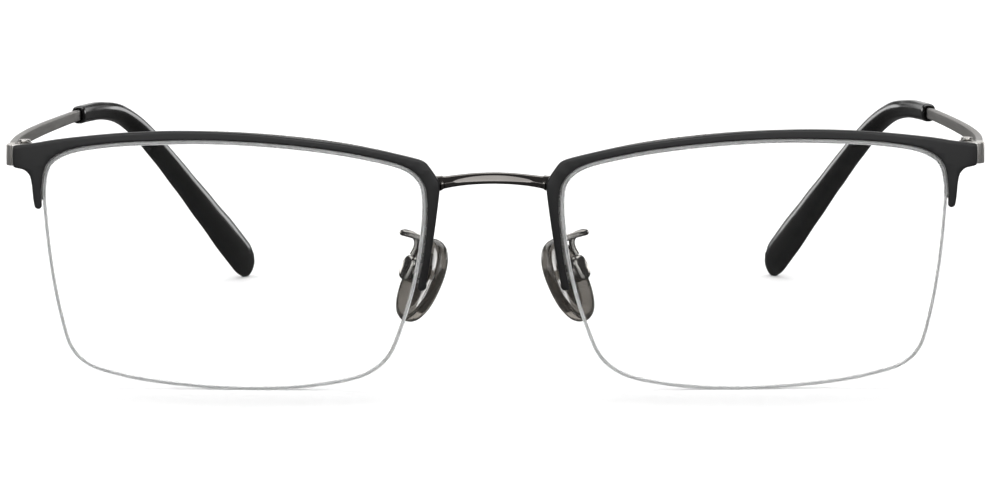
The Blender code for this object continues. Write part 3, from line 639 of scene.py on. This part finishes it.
def endpiece():
    """The folded metal plate behind the brow bar's lug, on which the hinge sits."""
    outline = rounded([Vector(point) * MM for point in ENDPIECE_PLAN], ENDPIECE_ROUNDING, 4)
    mesh = bevelled_plate(outline, ENDPIECE_HEIGHT, ENDPIECE_BEVEL, "endpiece")
    height = JOINTS["temple_hinge_left"]["pos_m"][2]
    mesh.transform(Matrix.Translation(TEMPLE_SHIFT + Vector((0, 0, height))))
    along = (Vector(ENDPIECE_PLAN[2]) - Vector(ENDPIECE_PLAN[1])).normalized().to_3d()
    up = Vector((0, 0, 1))
    cutter = turned_block(
        Vector(SEAM) * MM + TEMPLE_SHIFT, (along, up.cross(along), up),
        (SEAM_WIDTH / 2, SEAM_DEPTH, ENDPIECE_HEIGHT), "seam",
    )
    return combined(mesh, cutter, "DIFFERENCE", "endpiece")


def section_at(table, place):
    """Half height and half thickness at a place, between the rows of a table."""
    for (p0, *low), (p1, *high) in zip(table, table[1:]):
        if place <= p1:
            share = (place - p0) / (p1 - p0)
            share = share * share * (3 - 2 * share)
            return [(a + (b - a) * share) * MM for a, b in zip(low, high)]
    return [value * MM for value in table[-1][1:]]


def temple_axes(place):
    """The centre line's point there, upwards across it, and outwards."""
    last = len(TEMPLE_LINE) - 1
    ahead = spline_point(TEMPLE_LINE, min(place + 0.05, last))
    behind = spline_point(TEMPLE_LINE, max(place - 0.05, 0))
    along = (ahead - behind).normalized()
    outward = Vector((along.y, -along.x, 0)).normalized()
    here = spline_point(TEMPLE_LINE, place) * MM + TEMPLE_SHIFT
    return here, outward.cross(along).normalized(), outward


def temple():
    """A flat bar with rounded edges, and the core wire that it becomes inside the tip."""
    places = spread(0, 1, 24) + spread(1.05, 5.2, 40) + spread(5.26, 5.29, 6)
    places += spread(5.32, CORE_END, 60)
    rings = []
    for place in places:
        here, across, outward = temple_axes(place)
        high, thick = section_at(BAR_SECTIONS, place)
        corners = [(-high, -thick), (high, -thick), (high, thick), (-high, thick)]
        rings.append([
            here + across * one + outward * two for one, two in rounded(corners, TEMPLE_ROUNDING)
        ])
    return loft(rings, "temple")


def temple_tip():
    """The black sleeve, from its rounded mouth over the ear bend to its broad end."""
    count = 64
    last = len(TEMPLE_LINE) - 1
    mouth = [(0.0, -0.32), (0.012, -0.2), (0.035, -0.1), (0.07, -0.03), (0.11, 0.0)]
    rings = []
    places = spread(TIP_BODY + 0.04, 14.7, 120) + spread(14.72, last, 24)
    for place in reversed(places):
        here, across, outward = temple_axes(place)
        share = (place - TIP_BODY) / (last - TIP_BODY)
        power = TIP_POWER + (TIP_END_POWER - TIP_POWER) * share
        rings.append(oval(
            here, across, outward, *section_at(TIP_SECTIONS, place), count, power
        ))
    for ahead, shrink in reversed(mouth):
        here, across, outward = temple_axes(TIP_START + ahead)
        high, thick = section_at(TIP_SECTIONS, TIP_BODY)
        rings.append(oval(
            here, across, outward, high + shrink * MM, thick + shrink * MM, count, TIP_POWER
        ))
    for ahead, widen in ((0.01, 0.3), (0.05, 0.22), (0.12, 0.12), (0.2, 0.1)):
        here, across, outward = temple_axes(TIP_START + ahead)
        high, thick = section_at(BAR_SECTIONS, TIP_START + ahead)
        rings.append(oval(
            here, across, outward, high + widen * MM, thick + widen * MM, count, BORE_POWER
        ))
    for place in spread(5.6, CORE_END + 0.1, 60):
        here, across, outward = temple_axes(place)
        high, thick = section_at(BAR_SECTIONS, place)
        rings.append(oval(
            here, across, outward, high + CORE_CLEARANCE, thick + CORE_CLEARANCE, count, BORE_POWER
        ))
    return loft(rings, "temple_tip")


# ---------------------------------------------------------------- nose pads

def pad_axes():
    """Up the pad, back across it, and out of the face that rests on the nose."""
    up = Vector((-math.sin(PAD_LEAN), 0, math.cos(PAD_LEAN)))
    back = Vector((math.sin(PAD_SPLAY), math.cos(PAD_SPLAY), 0))
    back = (back - up * back.dot(up)).normalized()
    return up, back, up.cross(back).normalized()


PAD_UP, PAD_BACKWARD, PAD_FACING = pad_axes()
PAD_CENTRE = (
    PAD_PIVOT + PAD_FACING * (PAD_BOX_HALF + PAD_GAP + PAD_HALF_THICKNESS) - PAD_UP * PAD_DROP
)


def pad_arm():
    points = [point * MM + TEMPLE_SHIFT for point in spline(PAD_ARM_ROUTE, 110)]
    return tube(points, PAD_ARM_RADIUS, "pad_arm", 6)


def pad_box():
    """A rounded drum with a slot across its open face."""
    rings = []
    for step in range(-12, 13):
        share = step / 12
        size = max(1 - abs(share) ** 5, 0) ** 0.35
        rings.append(oval(
            PAD_PIVOT + PAD_FACING * PAD_BOX_HALF * share, PAD_UP, PAD_BACKWARD,
            max(PAD_BOX_RADIUS * size, 0.3 * MM), max(PAD_BOX_FLAT * size, 0.25 * MM), 56, 2.7,
        ))
    body = loft(rings, "pad_box")
    slot = turned_block(
        PAD_PIVOT + PAD_FACING * PAD_SLOT_FORWARD * MM, (PAD_UP, PAD_BACKWARD, PAD_FACING),
        PAD_SLOT_HALVES, "slot",
    )
    return combined(body, slot, "DIFFERENCE", "pad_box")


def nose_pad():
    """A soft oval: a rolled rim, a shallow dish behind and a dome towards the nose.
    The profile lists (depth, size) as shares of the pad's half thickness and half widths."""
    profile = [
        (-0.62, 0.05), (-0.64, 0.3), (-0.68, 0.55), (-0.8, 0.74), (-0.95, 0.84), (-1.0, 0.9),
        (-0.9, 0.955), (-0.65, 0.985), (-0.35, 1.0), (0.0, 0.99), (0.3, 0.955), (0.55, 0.89),
        (0.75, 0.77), (0.88, 0.6), (0.96, 0.4), (1.0, 0.2), (1.0, 0.05),
    ]
    rings = [
        oval(
            PAD_CENTRE + PAD_FACING * PAD_HALF_THICKNESS * depth, PAD_UP, PAD_BACKWARD,
            PAD_HALF_LENGTH * size, PAD_HALF_WIDTH * size, 64, 2.25,
        )
        for depth, size in profile
    ]
    return loft(rings, "nose_pad")


# ---------------------------------------------------------------- assembly

def mirrored(mesh, side):
    copy = mesh.copy()
    if side < 0:
        copy.transform(Matrix.Diagonal((-1, 1, 1, 1)))
        copy.flip_normals()
    return copy


def curve_normals(mesh):
    """Give the lens's polished faces the normals of the curve they are ground to."""
    to_front = FRONT_FRAME.inverted()
    turn = FRONT_FRAME.to_3x3()
    normals = [corner.vector.copy() for corner in mesh.corner_normals]
    for face in mesh.polygons:
        if face.material_index:
            continue
        for corner in face.loop_indices:
            point = to_front @ mesh.vertices[mesh.loops[corner].vertex_index].co
            side = math.copysign(1, point.x)
            across, up = point.x * side - LENS_CENTRE, point.z
            depth = math.sqrt(LENS_RADIUS**2 - across**2 - up**2)
            slope = math.tan(FACE_FORM) + across / depth
            normal = (turn @ Vector((slope * side, -1, up / depth))).normalized()
            normals[corner] = normal if normal.dot(face.normal) > 0 else -normal
    mesh.normals_split_custom_set(normals)


def add_piece(name, mesh, body, slot, materials, replaced, sharp=40):
    for material in materials:
        mesh.materials.append(MATERIALS[material])
    mesh.shade_smooth()
    mesh.set_sharp_from_angle(angle=math.radians(sharp))
    if slot == "lens":
        curve_normals(mesh)
    obj = helper(mesh, name)
    if slot in ("black_enamel", "gunmetal", "steel"):
        even_out = obj.modifiers.new("normals", "WEIGHTED_NORMAL")
        even_out.keep_sharp = True
    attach(obj, body)
    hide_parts(replaced)


def build_glasses():
    on_front_frame = [
        ("brow_bar", brow_bar(), "black_enamel", ["enamel"]),
        ("eyewire", eyewire(), "gunmetal", ["eyewire"]),
        ("lens", lens(), "lens", ["lens", "lens_edge"]),
        ("nylon_cord", nylon_cord(), "nylon", ["nylon"]),
    ]
    for _, mesh, *_ in on_front_frame:
        mesh.transform(FRONT_FRAME)
    pieces = [("front", *piece) for piece in on_front_frame]
    pieces += [
        ("front", "endpiece", endpiece(), "gunmetal", ["silver"]),
        ("front", "pad_arm", pad_arm(), "gunmetal", ["gunmetal"]),
        ("front", "pad_box", pad_box(), "gunmetal", ["gunmetal"]),
        ("temple", "temple", temple(), "gunmetal", ["temple"]),
        ("temple", "temple_tip", temple_tip(), "black_acetate", ["acetate"]),
        ("pad", "nose_pad", nose_pad(), "silicone", ["silicone"]),
    ]
    copies = [
        ("front", "hinge_front_leaf", "gunmetal", "gunmetal", 0.07 * MM),
        ("front", "hinge_screw", "steel", "screw", 0.05 * MM),
        ("front", "hinge_washer_upper", "nylon", "nylon", 0.03 * MM),
        ("front", "hinge_washer_lower", "nylon", "nylon", 0.03 * MM),
        ("front", "pad_screw", "steel", "screw", 0.05 * MM),
        ("temple", "hinge_temple_leaf", "gunmetal", "gunmetal", 0.07 * MM),
        ("pad", "pad_core", "steel", "core", 0.06 * MM),
    ]
    for body, piece, slot, material, bevel in copies:
        pieces.append((body, piece, refined(piece + "_left", bevel), slot, [material]))
    for name, side in SIDES.items():
        for body, piece, mesh, slot, materials in pieces:
            rides_on = body if body == "front" else f"{body}_{name}"
            sharp = 20 if piece in ("brow_bar", "endpiece") else 40
            add_piece(
                f"fine_{piece}_{name}", mirrored(mesh, side), rides_on, slot, materials,
                f"{piece}_{name}", sharp,
            )
        liner = frame["nodes"][f"rim_liner_{name}"]
        liner.data.materials.clear()
        liner.data.materials.append(MATERIALS["nylon"])
    mesh = bridge()
    mesh.transform(FRONT_FRAME)
    add_piece("fine_bridge", mesh, "front", "gunmetal", ["bridge"], "bridge")


# ---------------------------------------------------------------- studio

def add_floor():
    bm = bmesh.new()
    bmesh.ops.create_circle(bm, cap_ends=True, segments=96, radius=FLOOR_RADIUS)
    floor = helper(mesh_from(bm, "floor"), "floor")
    floor.data.materials.append(surface(
        "pale_floor", [], (even(0.9), even(0.92)), even(3), (0.85, 0.95), even(20),
    ))
    floor.visible_glossy = False  # black parts mirror the dim room, not the pale floor


def add_light(name, place, target, size, power, seen_through_lenses=True):
    light = bpy.data.lights.new(name, "AREA")
    light.shape = "RECTANGLE"
    light.size, light.size_y = size
    light.energy = power
    obj = helper(light, name)
    obj.visible_transmission = seen_through_lenses
    obj.location = place
    obj.rotation_euler = (Vector(target) - Vector(place)).to_track_quat("-Z", "Y").to_euler()


def add_studio():
    scene = bpy.context.scene
    world = bpy.data.worlds.new("studio")
    world.use_nodes = True
    background = world.node_tree.nodes["Background"]
    background.inputs["Color"].default_value = (1.0, 1.0, 0.995, 1.0)
    background.inputs["Strength"].default_value = WORLD_STRENGTH
    scene.world = world
    scene.view_settings.view_transform = "Standard"
    middle = (0, 0, 0.02)
    add_light("front_strip", (0, -1.0, 0.85), middle, (2.2, 1.0), 18)
    add_light("front_box", (0, -1.7, 0.45), (0, 0, 0.1), (2.6, 0.84), 11)
    add_light("top_box", (0, 1.3, 1.8), (0, 1.3, 0), (3.2, 2.2), 65)
    add_light("back_box", (0, 2.4, 0.3), middle, (2.0, 0.56), 3, seen_through_lenses=False)
    for name, side in SIDES.items():
        add_light(f"front_{name}", (1.3 * side, -1.3, 0.35), middle, (0.8, 0.6), 4)
        add_light(
            f"back_{name}", (1.4 * side, 1.45, 0.27), middle, (1.0, 0.5), 6.5,
            seen_through_lenses=False,
        )


def add_camera():
    data = bpy.data.cameras.new("camera")
    data.lens = CAMERA_LENS
    data.shift_x, data.shift_y = CAMERA_SHIFT
    data.clip_start = 0.01
    camera = helper(data, "camera")
    turn = Matrix.Rotation(CAMERA_YAW, 4, "Z")
    pivot = Vector((0, FRONT_ORIGIN.y, CAMERA_HEIGHT))
    camera.location = pivot + turn @ Vector((0, -CAMERA_DISTANCE, 0))
    turn @= Matrix.Rotation(math.pi / 2 - CAMERA_PITCH, 4, "X")
    turn @= Matrix.Rotation(CAMERA_ROLL, 4, "Z")
    camera.rotation_euler = turn.to_euler()
    bpy.context.scene.camera = camera


add_camera()
build_glasses()
add_floor()
add_studio()
